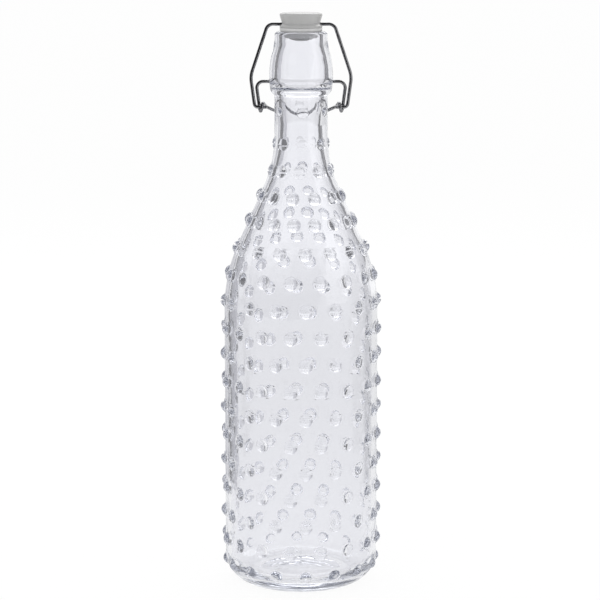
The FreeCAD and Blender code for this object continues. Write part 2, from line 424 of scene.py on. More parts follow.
def spin_round(bm: BMesh, geom: list, columns: int) -> None:
    """Spin an outline about the Z axis by a full turn.

    Args:
        bm: the mesh.
        geom: the outline's vertices and edges.
        columns: steps in the turn.
    """
    bmesh.ops.spin(
        bm, geom=geom, cent=(0, 0, 0), axis=(0, 0, 1), angle=2 * math.pi, steps=columns,
        use_merge=True, use_normal_flip=False, use_duplicate=False,
    )


# Shader helpers

def fill(node: Node, **values: object) -> None:
    """Set a node's inputs.

    Args:
        node: the node.
        values: the inputs by name, with an underscore for each space.
    """
    for key, value in values.items():
        node.inputs[key.replace("_", " ")].default_value = value


class Shade:
    """A material's node tree, with short words for adding to it."""

    def __init__(self, tree: NodeTree) -> None:
        """Keep the tree."""
        self.tree = tree

    def add(self, kind: str, **values: object) -> Node:
        """Add a node.

        Args:
            kind: the node's type name.
            values: properties by name, or inputs by name where the node has no such property.

        Returns:
            The node.
        """
        node = self.tree.nodes.new(kind)
        for key, value in values.items():
            if hasattr(node, key):
                setattr(node, key, value)
            else:
                fill(node, **{key: value})
        return node

    def link(self, out: NodeSocket, into: NodeSocket) -> None:
        """Link two sockets."""
        self.tree.links.new(out, into)

    def math(self, operation: str, a: NodeSocket | float, b: NodeSocket | float = 0.0,
             clamp: bool = False) -> NodeSocket:
        """Add a Math node.

        Args:
            operation: what it does.
            a: a socket or a number.
            b: a socket or a number.
            clamp: keep the result from 0 to 1.

        Returns:
            The result's socket.
        """
        node = self.add("ShaderNodeMath", operation=operation, use_clamp=clamp)
        for i, value in enumerate((a, b)):
            if isinstance(value, NodeSocket):
                self.link(value, node.inputs[i])
            else:
                node.inputs[i].default_value = value
        return node.outputs[0]

    def ramp(self, value: NodeSocket, low: float, high: float,
             first: float = 0.0, last: float = 1.0) -> NodeSocket:
        """Map a value's range smoothly onto another.

        Args:
            value: the value's socket.
            low: where the range starts.
            high: where it ends.
            first: result at its start.
            last: result at its end.

        Returns:
            The result's socket.
        """
        node = self.add("ShaderNodeMapRange", interpolation_type="SMOOTHSTEP")
        self.link(value, node.inputs["Value"])
        fill(node, From_Min=low, From_Max=high, To_Min=first, To_Max=last)
        return node.outputs["Result"]

    def tint(self, share: NodeSocket, first: Colour, last: Colour) -> NodeSocket:
        """Mix two colours by a share.

        Args:
            share: 0 for the first colour, 1 for the last.
            first: linear RGB.
            last: linear RGB.

        Returns:
            The colour's socket.
        """
        node = self.add("ShaderNodeMix", data_type="RGBA")
        self.link(share, node.inputs["Factor"])
        for socket, colour in zip([s for s in node.inputs if s.type == "RGBA"], (first, last)):
            socket.default_value = (*colour, 1.0)
        return [s for s in node.outputs if s.type == "RGBA"][0]

    def bump(self, height: NodeSocket, shader: Node, strength: float, distance: float) -> None:
        """Let a height lean a shader's normal.

        Args:
            height: the height's socket.
            shader: the shader.
            strength: share of the full effect.
            distance: depth of the relief, m.
        """
        node = self.add("ShaderNodeBump", Strength=strength, Distance=distance)
        self.link(height, node.inputs["Height"])
        self.link(node.outputs["Normal"], shader.inputs["Normal"])

    def blend(self, share: NodeSocket, first: Node, last: Node, into: NodeSocket) -> None:
        """Mix two shaders by a share.

        Args:
            share: 0 for the first shader, 1 for the last.
            first: a shader.
            last: a shader.
            into: the socket that takes the result.
        """
        mix = self.add("ShaderNodeMixShader")
        self.link(share, mix.inputs["Fac"])
        self.link(first.outputs[0], mix.inputs[1])
        self.link(last.outputs[0], mix.inputs[2])
        self.link(mix.outputs[0], into)


def new_material(name: str) -> tuple[Material, Shade, Node]:
    """Start a material with a Principled shader.

    Args:
        name: the material's name.

    Returns:
        The material, its tree and its shader node.
    """
    material = bpy.data.materials.new(name)
    material.use_nodes = True
    shade = Shade(material.node_tree)
    return material, shade, material.node_tree.nodes["Principled BSDF"]


class Group(Enum):
    """The shared effects, each a node group."""

    RIPPLE = "moulded ripple"
    HANDLING = "handling film"


def start_group(group: Group, inputs: dict[str, float], output: str) -> tuple[Shade, Node, Node]:
    """Start a shader node group.

    Args:
        group: which effect it is.
        inputs: number inputs with their defaults.
        output: its number output.

    Returns:
        The tree, the group's input node and its output node.
    """
    tree = bpy.data.node_groups.new(group.value, "ShaderNodeTree")
    tree.interface.new_socket("Vector", in_out="INPUT", socket_type="NodeSocketVector")
    for key, value in inputs.items():
        socket = tree.interface.new_socket(key, in_out="INPUT", socket_type="NodeSocketFloat")
        socket.default_value = value
    tree.interface.new_socket(output, in_out="OUTPUT", socket_type="NodeSocketFloat")
    shade = Shade(tree)
    return shade, shade.add("NodeGroupInput"), shade.add("NodeGroupOutput")


def group_noise(shade: Shade, given: Node, times: float, **values: float) -> NodeSocket:
    """Add a noise that reads a group's vector and scale.

    Args:
        shade: the group's tree.
        given: the group's input node.
        times: the noise's scale over the group's.
        values: the noise's other inputs.

    Returns:
        The noise's socket.
    """
    noise = shade.add("ShaderNodeTexNoise", **values)
    shade.link(given.outputs["Vector"], noise.inputs["Vector"])
    shade.link(shade.math("MULTIPLY", given.outputs["Scale"], times), noise.inputs["Scale"])
    return noise.outputs["Fac"]


def make_groups() -> None:
    """Build the shared node groups once."""
    shade, given, result = start_group(Group.RIPPLE, {"Scale": 40.0, "Fine": 0.25}, "Height")
    broad = group_noise(shade, given, 1.0, Detail=1.0, Roughness=0.4)
    fine = group_noise(shade, given, 4.3, Detail=2.0, Roughness=0.5)
    fine = shade.math("MULTIPLY", fine, given.outputs["Fine"])
    shade.link(shade.math("ADD", broad, fine), result.inputs["Height"])

    shade, given, result = start_group(Group.HANDLING, {"Scale": 60.0, "Amount": 0.5}, "Mask")
    film = shade.ramp(group_noise(shade, given, 1.0, Detail=4.0, Roughness=0.6), 0.42, 0.68)
    dots = shade.ramp(group_noise(shade, given, 17.0, Detail=2.0, Roughness=0.7), 0.60, 0.74)
    both = shade.math("MAXIMUM", film, shade.math("MULTIPLY", dots, 0.6))
    mask = shade.math("MULTIPLY", both, given.outputs["Amount"], clamp=True)
    shade.link(mask, result.inputs["Mask"])


def place_group(shade: Shade, group: Group, vector: NodeSocket, **values: float) -> Node:
    """Place a shared effect in a material.

    Args:
        shade: the material's tree.
        group: which effect.
        vector: the coordinates that it reads.
        values: its number inputs.

    Returns:
        The group's node.
    """
    node = shade.add("ShaderNodeGroup")
    node.node_tree = bpy.data.node_groups[group.value]
    shade.link(vector, node.inputs["Vector"])
    fill(node, **values)
    return node


# Finishes

@dataclass(frozen=True)
class ClearGlass:
    """Clear soda lime glass with a faint cool tint and the slow ripple of a blown wall."""

    pane: Colour = (0.932, 0.935, 0.958)
    tint: Colour = (0.89, 0.895, 0.91)
    density: float = 50.0
    ior: float = 1.5
    ripple: float = 0.0003
    ripple_scale: float = 55.0
    ripple_fine: float = 0.12

    def material(self) -> Material:
        """Return the finish as a material."""
        material, shade, shader = new_material("clear glass")
        fill(shader, Base_Color=(*self.pane, 1.0), Roughness=0.0, IOR=self.ior, Transmission_Weight=1.0)
        place = shade.add("ShaderNodeTexCoord").outputs["Object"]
        ripple = place_group(shade, Group.RIPPLE, place, Scale=self.ripple_scale, Fine=self.ripple_fine)
        shade.bump(ripple.outputs["Height"], shader, 1.0, self.ripple)
        volume = shade.add("ShaderNodeVolumeAbsorption", Density=self.density, Color=(*self.tint, 1.0))
        shade.link(volume.outputs[0], material.node_tree.nodes["Material Output"].inputs["Volume"])
        return material


@dataclass(frozen=True)
class Moulded:
    """A moulded finish with a soft grain, a trace of handling and some light under its skin.

    Attributes:
        name: the material's name.
        colour: linear RGB where it is clean.
        worn: linear RGB where it is handled.
        film_scale: how small the handled patches are.
        film: how strong they are.
        rough: roughness where it is clean and where it is handled.
        grain_scale: how small the grain is.
        grain_fine: share of its finer part.
        grain: strength of the grain.
        grain_depth: its depth, m.
        under: share of the light that goes under the skin.
        under_reach: how far that light goes, by colour, m.
        ior: refractive index.
        under_scale: share of that reach.
    """

    name: str
    colour: Colour
    worn: Colour
    film_scale: float
    film: float
    rough: Pair
    grain_scale: float
    grain_fine: float
    grain: float
    grain_depth: float
    under: float
    under_reach: Colour
    ior: float
    under_scale: float = 0.5

    def material(self) -> Material:
        """Return the finish as a material."""
        material, shade, shader = new_material(self.name)
        place = shade.add("ShaderNodeTexCoord").outputs["Object"]
        film = place_group(shade, Group.HANDLING, place, Scale=self.film_scale, Amount=self.film)
        mask = film.outputs["Mask"]
        shade.link(shade.tint(mask, self.colour, self.worn), shader.inputs["Base Color"])
        shade.link(shade.ramp(mask, 0.0, 1.0, *self.rough), shader.inputs["Roughness"])
        grain = place_group(shade, Group.RIPPLE, place, Scale=self.grain_scale, Fine=self.grain_fine)
        shade.bump(grain.outputs["Height"], shader, self.grain, self.grain_depth)
        fill(shader, Subsurface_Weight=self.under, Subsurface_Radius=self.under_reach,
             Subsurface_Scale=self.under_scale, IOR=self.ior)
        return material


STOPPER_PLASTIC = Moulded(
    "stopper plastic", colour=(0.445, 0.445, 0.442), worn=(0.415, 0.415, 0.415), film_scale=130.0, film=0.7,
    rough=(0.32, 0.5), grain_scale=420.0, grain_fine=0.6, grain=0.6, grain_depth=0.00012,
    under=0.25, under_reach=(0.002, 0.002, 0.0018), ior=1.49,
)
GASKET_RUBBER = Moulded(
    "gasket rubber", colour=(0.66, 0.66, 0.66), worn=(0.6, 0.6, 0.6), film_scale=210.0, film=0.8,
    rough=(0.48, 0.66), grain_scale=600.0, grain_fine=0.5, grain=0.5, grain_depth=0.0001,
    under=0.5, under_reach=(0.003, 0.003, 0.003), ior=1.5,
)


@dataclass(frozen=True)
class SteelWire:
    """Bright drawn steel wire, with fine lengthwise drawing lines and small dull patches."""

    bright: Colour = (0.27, 0.27, 0.28)
    dull: Colour = (0.19, 0.19, 0.2)
    film_scale: float = 160.0
    film: float = 0.8
    rough: Pair = (0.14, 0.3)
    line_rough: float = 0.10
    line_steps: tuple[float, float, float] = (18.0, 3.0, 3.0)
    line_scale: float = 4.0
    line_bump: float = 0.35
    line_depth: float = 0.00005

    def material(self) -> Material:
        """Return the finish as a material."""
        material, shade, shader = new_material("steel wire")
        fill(shader, Metallic=1.0)
        place = shade.add("ShaderNodeTexCoord").outputs["Object"]
        film = place_group(shade, Group.HANDLING, place, Scale=self.film_scale, Amount=self.film)
        mask = film.outputs["Mask"]
        shade.link(shade.tint(mask, self.bright, self.dull), shader.inputs["Base Color"])
        drawn = shade.add("ShaderNodeCombineXYZ")
        for key, step, into in zip(("along", "side_a", "side_b"), self.line_steps, drawn.inputs):
            share = shade.add("ShaderNodeAttribute", attribute_name=key).outputs["Fac"]
            shade.link(shade.math("MULTIPLY", share, step), into)
        lines = shade.add("ShaderNodeTexNoise", Scale=self.line_scale, Detail=3.0, Roughness=0.6)
        shade.link(drawn.outputs[0], lines.inputs["Vector"])
        streak = shade.math("MULTIPLY", lines.outputs["Fac"], self.line_rough)
        rough = shade.math("ADD", shade.ramp(mask, 0.0, 1.0, *self.rough), streak)
        shade.link(rough, shader.inputs["Roughness"])
        shade.bump(lines.outputs["Fac"], shader, self.line_bump, self.line_depth)
        return material


# The glass

@dataclass
class HobnailBottle:
    """The bottle: one glass wall with its nubs, neck and finish. Sizes are in millimetres."""

    body_r: float = 41.6
    wall: float = 3.2
    heel_r: float = 15.0
    foot_in_r: float = 22.0
    push_up: float = 3.0
    floor: float = 7.5
    floor_corner_r: float = 9.0
    body_top: float = 151.5
    shoulder_r: float = 90.0
    shoulder_angle: float = 24.2
    sweep_r: float = 70.0
    neck_r: float = 14.3
    neck_top_r: float = 14.2
    neck_bore_r: float = 9.6
    neck_length: float = 20.7
    finish_h: float = 34.1
    bulge_r: float = 17.1
    mouth_r: float = 14.15
    mouth_bore_r: float = 10.4
    barrel_r: float = 12.8
    ring_r: float = 10.95
    throat_r: float = 10.9
    lip_out_r: float = 1.7
    lip_in_r: float = 1.5
    nub: Nub = Nub(3.5, 2.4)
    first_row_z: float = 24.9
    row_pitch: float = 14.63
    body_rows: int = 13
    nubs_per_row: int = 16
    nub_phase: float = 3.6
    # Rows beyond the body: count, azimuth, height and form
    end_rows: tuple[tuple[int, float, float, Nub], ...] = (
        (16, 3.6, 11.6, Nub(3.3, 1.8)),
        (12, 18.6, 213.8, Nub(3.5, 2.3)),
        (10, -3.0, 227.7, Nub(3.4, 1.5)),
        (8, 3.6, 241.9, Nub(3.1, 1.0)),
        (6, 3.6, 259.2, Nub(3.0, 1.0)),
    )
    pin_hole: PinHole = PinHole(0.98, 2.6)
    pivot_rise: float = 7.5

    # Points of the finish: steps in from the bulge's radius, and heights over the finish's foot
    curl: Pair = (1.25, 1.6)
    bulge_low: Pair = (0.4, 4.0)
    bulge_mid: Pair = (0.0, 11.3)
    bulge_top: Pair = (0.9, 20.0)
    step_mid: Pair = (1.4, 22.0)

    # The collar's foot, as a step out from the mouth's radius and a height, and its upper end
    collar: Pair = (0.95, 23.6)
    collar_z: float = 30.0

    # Heights of the bore over the foot of the finish
    mouth_bore_z: float = 26.5
    barrel_z: float = 16.0
    barrel_end: Pair = (0.1, 4.3)
    ring_z: float = 2.4
    throat_z: float = -3.5
    neck_bore_z: float = -15.0

    # The mesh: columns, rings in half a nub, longest run and largest turn of a step on each skin,
    # room round nubs, holes and their rings, and the height that the search for rows starts at
    columns: int = 256
    block_rows: int = 6
    outer_step: Pair = (3.2, 9.0)
    inner_step: Pair = (6.0, 7.5)
    nub_room: float = 0.35
    hole_room: float = 0.9
    row_room: float = 0.25
    foot_z: float = 2.0

    def __post_init__(self) -> None:
        """Work out the heights that follow from the sizes."""
        rise = math.radians(self.shoulder_angle)
        cone_low = Vector((self.body_r - self.shoulder_r * (1 - math.cos(rise)),
                           self.body_top + self.shoulder_r * math.sin(rise)))
        self.cone_r = self.neck_r + self.sweep_r * (1 - math.cos(rise))
        cone_z = cone_low.y + (cone_low.x - self.cone_r) / math.tan(rise)
        self.neck_z = cone_z + self.sweep_r * math.sin(rise)
        self.finish_z = self.neck_z + self.neck_length
        self.mouth_z = self.finish_z + self.finish_h
        self.pivot_z = self.finish_z + self.pivot_rise

    def outside(self) -> Outline:
        """Return the outer skin's outline, from the middle of the foot to the lip."""
        foot_r = self.body_r - self.heel_r
        a = self.shoulder_angle
        z = self.finish_z
        ball = (self.foot_in_r ** 2 + self.push_up ** 2) / (2 * self.push_up)
        sink = math.degrees(math.asin(self.foot_in_r / ball))
        out = Outline(Vector((0.0, self.push_up)))
        out.turn(0, self.push_up - ball, ball, 90, 90 - sink).to(foot_r, 0)
        out.turn(foot_r, self.heel_r, self.heel_r, -90, 0).to(self.body_r, self.body_top)
        out.turn(self.body_r - self.shoulder_r, self.body_top, self.shoulder_r, 0, a)
        out.to(self.cone_r, self.neck_z - self.sweep_r * math.sin(math.radians(a)))
        out.turn(self.neck_r + self.sweep_r, self.neck_z, self.sweep_r, 180 + a, 180)
        out.to(self.neck_top_r, z)
        curl, low, mid, top, step = (
            (self.bulge_r - inward, z + rise)
            for inward, rise in (self.curl, self.bulge_low, self.bulge_mid, self.bulge_top, self.step_mid)
        )
        out.through(*curl, *low).through(*mid, *top)
        out.through(*step, self.mouth_r + self.collar[0], z + self.collar[1])
        out.to(self.mouth_r, z + self.collar_z).to(self.mouth_r, self.mouth_z - self.lip_out_r)
        out.turn(self.mouth_r - self.lip_out_r, self.mouth_z - self.lip_out_r, self.lip_out_r, 0, 90)
        return out.to(self.mouth_bore_r + self.lip_in_r, self.mouth_z)

    def inside(self) -> Outline:
        """Return the inner skin's outline, from the lip down to the middle of the floor."""
        a = self.shoulder_angle
        rise = math.radians(a)
        body_r = self.body_r - self.wall
        top_r = self.shoulder_r - self.wall
        sweep_r = self.sweep_r + self.neck_r - self.neck_bore_r
        low = Vector((body_r - top_r * (1 - math.cos(rise)), self.body_top + top_r * math.sin(rise)))
        cone_r = self.neck_bore_r + sweep_r * (1 - math.cos(rise))
        cone_z = low.y + (low.x - cone_r) / math.tan(rise)
        neck_z = cone_z + sweep_r * math.sin(rise)
        z = self.finish_z
        corner_r = body_r - self.floor_corner_r
        out = Outline(Vector((self.mouth_bore_r + self.lip_in_r, self.mouth_z)))
        out.turn(self.mouth_bore_r + self.lip_in_r, self.mouth_z - self.lip_in_r, self.lip_in_r, 90, 180)
        out.to(self.mouth_bore_r, z + self.mouth_bore_z)
        inward, end_z = self.barrel_end
        out.through(self.barrel_r, z + self.barrel_z, self.barrel_r - inward, z + end_z)
        out.to(self.ring_r, z + self.ring_z).to(self.throat_r, z + self.throat_z)
        out.to(self.neck_bore_r, z + self.neck_bore_z).to(self.neck_bore_r, neck_z)
        out.turn(self.neck_bore_r + sweep_r, neck_z, sweep_r, 180, 180 + a)
        out.to(low.x, low.y).turn(body_r - top_r, self.body_top, top_r, a, 0)
        out.to(body_r, self.floor + self.floor_corner_r)
        out.turn(corner_r, self.floor + self.floor_corner_r, self.floor_corner_r, 0, -90)
        return out.to(0.0, self.floor)

    def bosses(self, outline: Outline) -> list[Boss]:
        """List the rows of nubs and the two pin holes.

        Args:
            outline: the outer skin's outline.

        Returns:
            The rows, lowest first.
        """
        start = outline.along_at(self.foot_z, self.body_r - self.heel_r)
        rows = []
        for i in range(self.body_rows):
            azimuth = self.nub_phase + (1 - i % 2) * 180 / self.nubs_per_row
            z = self.first_row_z + i * self.row_pitch
            rows.append(Boss(self.nub, outline.along_at(z, start), self.nubs_per_row, azimuth))
        for count, azimuth, z, form in self.end_rows:
            rows.append(Boss(form, outline.along_at(z, start), count, azimuth))
        rows.append(Boss(self.pin_hole, outline.along_at(self.pivot_z, start), 2, 90.0))
        return sorted(rows, key=lambda row: row.along)

    def half_block(self, boss: Boss) -> float:
        """Return half the height of the ring of faces that a row takes up, mm."""
        return boss.form.reach + (self.nub_room if isinstance(boss.form, Nub) else self.hole_room)

    def rows_of_vertices(self, outline: Outline, bosses: list[Boss]) -> list[float]:
        """Choose the outer skin's vertex rows.

        Args:
            outline: the outer skin's outline.
            bosses: the rows of nubs and holes.

        Returns:
            Distances along the outline, mm.
        """
        rows = []
        for along in outline.stations(*self.outer_step):
            if all(abs(along - boss.along) > self.half_block(boss) + self.row_room for boss in bosses):
                rows.append(along)
        return sorted(rows + [along for along, _, _ in self.block(bosses)])

    def block(self, bosses: list[Boss]) -> list[tuple[float, Boss, float]]:
        """List the vertex rows that the nubs and holes are pressed out of.

        Args:
            bosses: the rows of nubs and holes.

        Returns:
            For each its distance along the outline, its row of nubs, and its place there, from -1 to 1.
        """
        steps = range(-self.block_rows, self.block_rows + 1)
        return [(boss.along + self.half_block(boss) * k / self.block_rows, boss, k / self.block_rows)
                for boss in bosses for k in steps]

    def press_out(self, bm: BMesh, outline: Outline, bosses: list[Boss],
                  layer: BMLayerItem, shine: BMLayerItem) -> None:
        """Move the outer skin's vertices to form the nubs and the pin holes.

        Args:
            bm: the spun wall.
            outline: the outer skin's outline.
            bosses: the rows of nubs and holes.
            layer: the vertex layer that holds the distance along the outline, or -1 inside.
            shine: the vertex layer that holds the exact normal.
        """
        step = 2 * math.pi / self.columns
        rows = {round(along * ROW_KEY): (boss, v) for along, boss, v in self.block(bosses)}
        for vert in bm.verts:
            along = vert[layer]
            found = rows.get(round(along * ROW_KEY)) if along >= 0 else None
            if found is None:
                continue
            boss, v = found
            middle, normal = outline.locate(boss.along)
            reach = boss.form.reach
            half_columns = max(self.block_rows, math.ceil((reach + self.nub_room) / (middle.x * step)))
            azimuth = math.atan2(vert.co.x, -vert.co.y)
            pitch = 2 * math.pi / boss.count
            first = math.radians(boss.azimuth)
            centre = first + round((azimuth - first) / pitch) * pitch
            nearest = round(centre / step) * step
            u = round((azimuth - nearest) / step) / half_columns
            if abs(u) >= 1 or abs(v) >= 1:
                continue
            share, angle = round_off(u, v)
            ring = (self.block_rows - 1) / self.block_rows
            d, height = boss.form.form(min(1.0, share / ring))
            dx, dy = d * math.cos(angle), d * math.sin(angle)
            if share > ring:
                t = (share - ring) / (1 - ring)
                dx += (middle.x * (azimuth - centre) - dx) * t
                dy += (along - boss.along - dy) * t
            base, lean = outline.locate(boss.along + dy)
            turn = centre + dx / middle.x
            out = about_axis(normal, centre)
            vert.co = (about_axis(base, turn) + out * height) * MM
            if isinstance(boss.form, Nub):
                tilt = boss.form.slope(min(1.0, share / ring))
                east = Vector((math.cos(turn), math.sin(turn), 0.0))
                north = about_axis(Vector((-lean.y, lean.x)), turn)
                away = east * math.cos(angle) + north * math.sin(angle)
                vert[shine] = about_axis(lean, turn) * math.cos(tilt) + away * math.sin(tilt)
            else:
                vert[shine] = Vector((0.0, 0.0, 0.0))

    def build(self) -> Object:
        """Return the glass as one closed mesh."""
        bm = bmesh.new()
        layer = bm.verts.layers.float.new("along")
        shine = bm.verts.layers.float_vector.new("shine")
        outer, inner = self.outside(), self.inside()
        bosses = self.bosses(outer)
        drawn = [(*outer.locate(s), s) for s in self.rows_of_vertices(outer, bosses)]
        drawn += [(*inner.locate(s), -1.0) for s in inner.stations(*self.inner_step)[1:]]
        chain = [bm.verts.new((0.0, -p.x * MM, p.y * MM)) for p, _, _ in drawn]
        for vert, (_, lean, along) in zip(chain, drawn):
            vert[layer] = along
            vert[shine] = Vector((lean.x, lean.y, 0.0))
        edges = [bm.edges.new(pair) for pair in zip(chain, chain[1:])]
        spin_round(bm, chain + edges, self.columns)
        for vert in bm.verts:
            vert[shine] = about_axis(vert[shine], math.atan2(vert.co.x, -vert.co.y))
        self.press_out(bm, outer, bosses, layer, shine)
        obj = finish_mesh(bm, "bottle_glass", sharp=180.0)
        self.polish(obj.data)
        return obj

    def polish(self, mesh: Mesh) -> None:
        """Give the glass its exact normals, and the pin holes those of their faces.

        Args:
            mesh: the finished wall.
        """
        exact = mesh.attributes["shine"].data
        normals = []
        for vert in mesh.vertices:
            one = Vector(exact[vert.index].vector)
            normals.append(one.normalized() if one.length > 0.5 else vert.normal.copy())
        mesh.normals_split_custom_set_from_vertices(normals)
        mesh.attributes.remove(mesh.attributes["shine"])
        mesh.attributes.remove(mesh.attributes["along"])

    def dress(self) -> Object:
        """Build the bottle, give it its glass and put it in the frame."""
        obj = self.build()
        obj.data.materials.append(ClearGlass().material())
        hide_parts(*(node for node in ("bottle", "hobnails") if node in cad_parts))
        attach(obj, Body.BOTTLE.value)
        return obj


# The closure's turned pieces

@dataclass
class Closure:
    """The sizes that the stopper, the gasket and the wires share, in millimetres."""

    glass: HobnailBottle
    wire_r: float = 0.9
    fit: float = 0.08
    bar_rise: float = 3.9
    bar_floor: float = 0.9
    eye_fit: float = 0.35
    eye_drop: float = 13.7
    eye_angle: float = -93.0
    arm_gap: float = 1.3
    strand_gap: float = 0.4

    def __post_init__(self) -> None:
        """Work out the places that follow from the sizes."""
        self.bar_z = self.glass.mouth_z + self.bar_rise
        self.gasket_top = self.bar_z - self.wire_r - self.fit - self.bar_floor
        self.pivot_z = self.glass.pivot_z
        lean = math.radians(self.eye_angle)
        self.eye = Vector((0.0, self.eye_drop * math.cos(lean),
                           self.pivot_z + self.eye_drop * math.sin(lean)))
        self.eye_r = 2 * self.wire_r + self.eye_fit
        self.inner_x = self.glass.bulge_r + self.arm_gap + 2 * self.wire_r
        self.outer_x = self.inner_x + 2 * self.wire_r + self.strand_gap


# Longest run in millimetres and largest turn in degrees of one step of a turned piece
TURNED_STEP = (50.0, 15.0)

# Corners that fold by more than this, in degrees, are rounded over in so many steps
CORNER_FOLD = 25.0
CORNER_STEPS = 4

# Sides of the drill
DRILL_SIDES = 40


def turned(name: str, outline: Outline, round_edge: float, columns: int = 96) -> Object:
    """Turn an outline into a closed piece whose corners are rounded over.

    Args:
        name: the piece's name.
        outline: its half section, from the axis round to the axis, or a closed loop off the axis.
        round_edge: radius of the small round on each sharp corner, mm.
        columns: steps in the full turn.

    Returns:
        The piece's object.
    """
    bm = bmesh.new()
    points = [outline.locate(s)[0] for s in outline.stations(*TURNED_STEP)]
    closed = (points[0] - points[-1]).length < MERGE
    chain = [bm.verts.new((p.x * MM, 0.0, p.y * MM)) for p in (points[:-1] if closed else points)]
    pairs = list(zip(chain, chain[1:])) + ([(chain[-1], chain[0])] if closed else [])
    edges = [bm.edges.new(pair) for pair in pairs]
    fold = math.radians(CORNER_FOLD)
    corners = [v for v in chain if len(v.link_edges) == 2 and v.calc_edge_angle(0.0) > fold]
    bmesh.ops.bevel(bm, geom=corners, offset=round_edge * MM, offset_type="OFFSET", affect="VERTICES",
                    segments=CORNER_STEPS, profile=0.5, material=-1, clamp_overlap=True)
    spin_round(bm, bm.verts[:] + bm.edges[:], columns)
    return finish_mesh(bm, name, sharp=50.0)


def bore_across(obj: Object, radius: float, length: float, z: float) -> None:
    """Drill a round hole along X through a piece.

    Args:
        obj: the piece.
        radius: the hole's radius, mm.
        length: the drill's length, mm.
        z: the hole's height, mm.
    """
    bm = bmesh.new()
    bmesh.ops.create_cone(bm, cap_ends=True, segments=DRILL_SIDES, radius1=radius * MM,
                          radius2=radius * MM, depth=length * MM)
    bmesh.ops.rotate(bm, verts=bm.verts, matrix=Matrix.Rotation(math.pi / 2, 3, "Y"))
    bmesh.ops.translate(bm, verts=bm.verts, vec=(0.0, 0.0, z * MM))
    drill = finish_mesh(bm, "drill")
    cut = obj.modifiers.new("bore", "BOOLEAN")
    cut.operation, cut.object, cut.solver = "DIFFERENCE", drill, "EXACT"
    mesh = bpy.data.meshes.new_from_object(obj.evaluated_get(bpy.context.evaluated_depsgraph_get()))
    obj.modifiers.clear()
    bpy.data.objects.remove(drill)
    done = bmesh.new()
    done.from_mesh(mesh)
    fold_sharp(done, SHARP)
    done.to_mesh(obj.data)
    done.free()
    bpy.data.meshes.remove(mesh)


@dataclass
class Stopper:
    """The plastic stopper and the rubber gasket on its stem. Sizes are in millimetres."""

    closure: Closure
    cap_r: float = 11.4
    cap_edge_r: float = 1.3
    cap_h: float = 6.7
    cap_crown: float = 0.3
    waist_r: float = 10.05
    waist_rise: float = 0.9
    flange_r: float = 11.2
    flange_t: float = 1.2
    flange_bow: float = 0.2
    stem_r: float = 5.0
    button_r: float = 6.3
    button_h: float = 1.9
    button_rim: float = 0.6
    gasket_r: float = 11.4
    gasket_tip_r: float = 8.5
    cone_angle: float = 36.0
    seat_gap: float = 0.2
    edge_r: float = 0.22
    gasket_edge_r: float = 0.18
    drill_spare: float = 4.0

    def cone(self) -> tuple[Vector, Vector]:
        """Return the rim and the tip of the gasket's cone, as radius and height."""
        glass = self.closure.glass
        t = math.radians(self.cone_angle)
        reach = glass.lip_in_r + self.seat_gap
        seat_r = glass.mouth_bore_r + glass.lip_in_r - reach * math.cos(t)
        seat_z = glass.mouth_z - glass.lip_in_r + reach * math.sin(t)
        slope = math.cos(t) / math.sin(t)
        return (Vector((self.gasket_r, seat_z + (self.gasket_r - seat_r) * slope)),
                Vector((self.gasket_tip_r, seat_z - (seat_r - self.gasket_tip_r) * slope)))

    def build_stopper(self) -> Object:
        """Return the stopper: cap, waist, flange, stem and button, bored across for the bar."""
        tip_z = self.cone()[1].y
        base = self.closure.gasket_top
        top = base + self.flange_t + self.cap_h
        low = self.button_h - self.button_rim
        button = (self.button_r ** 2 + low ** 2) / (2 * low)
        lean = math.degrees(math.asin(self.button_r / button))
        crown_r = self.cap_r - self.cap_edge_r
        crown = (crown_r ** 2 + self.cap_crown ** 2) / (2 * self.cap_crown)
        dip = math.degrees(math.asin(crown_r / crown))
        out = Outline(Vector((0.0, tip_z - self.button_h)))
        out.turn(0, tip_z - self.button_h + button, button, -90, -90 + lean)
        out.to(self.button_r, tip_z).to(self.stem_r, tip_z).to(self.stem_r, base).to(self.flange_r, base)
        out.through(self.flange_r + self.flange_t * self.flange_bow, base + self.flange_t / 2,
                    self.flange_r, base + self.flange_t)
        out.to(self.waist_r, base + self.flange_t + self.waist_rise).to(self.cap_r, top - self.cap_edge_r)
        out.turn(crown_r, top - self.cap_edge_r, self.cap_edge_r, 0, 90)
        out.turn(0, top + self.cap_crown - crown, crown, 90 - dip, 90)
        obj = turned("stopper_plastic", out, self.edge_r)
        shared = self.closure
        bore_across(obj, shared.wire_r + shared.fit, 2 * self.cap_r + self.drill_spare, shared.bar_z)
        return obj

    def build_gasket(self) -> Object:
        """Return the gasket: a ring with a cone, round the stopper's stem."""
        rim, tip = self.cone()
        top = self.closure.gasket_top
        out = Outline(Vector((self.stem_r, tip.y)))
        out.to(tip.x, tip.y).to(rim.x, rim.y).to(self.gasket_r, top)
        out.to(self.stem_r, top).to(self.stem_r, tip.y)
        return turned("gasket_rubber", out, self.gasket_edge_r)

    def dress(self) -> list[Object]:
        """Build both pieces, give them their finishes and put them in the frame."""
        made = []
        for obj, finish, node, slot in (
            (self.build_stopper(), STOPPER_PLASTIC, "stopper", Slot.STOPPER),
            (self.build_gasket(), GASKET_RUBBER, "gasket", Slot.GASKET),
        ):
            obj.data.materials.append(finish.material())
            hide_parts(node)
            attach(obj, Body.STOPPER.value)
            made.append(obj)
        return made


# The bent wires

